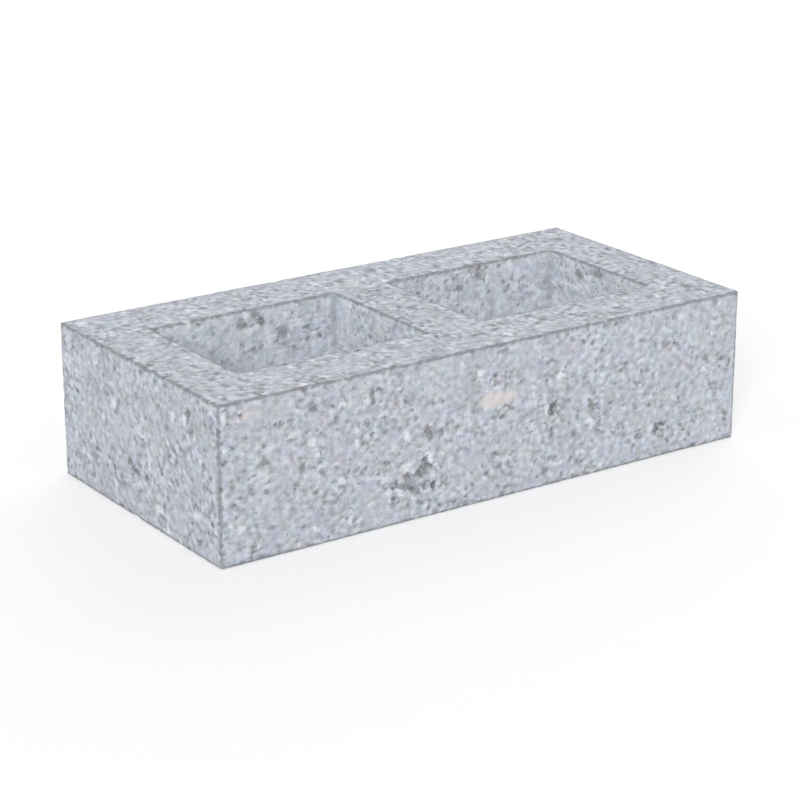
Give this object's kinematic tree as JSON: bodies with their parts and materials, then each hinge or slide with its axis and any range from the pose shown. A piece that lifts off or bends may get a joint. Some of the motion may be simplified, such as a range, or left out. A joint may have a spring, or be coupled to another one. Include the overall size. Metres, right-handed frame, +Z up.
{
  "type": "half height concrete block",
  "caption": "Low hollow concrete masonry block with upright rectangular cores between its face shells and webs, for a half course.",
  "frame": {"origin": "on the floor, under the middle of the lower bed face", "axes": "+X along the length, +Y across the bed between the two long faces, +Z up, as the block is laid"},
  "size_m": [0.39, 0.19, 0.1],
  "materials": {
    "concrete": "dry, open-textured cast concrete, matt, cool light grey with fine dark and pale grains"
  },
  "bodies": {
    "root": {"concrete_block": "concrete"}
  },
  "joints": []
}
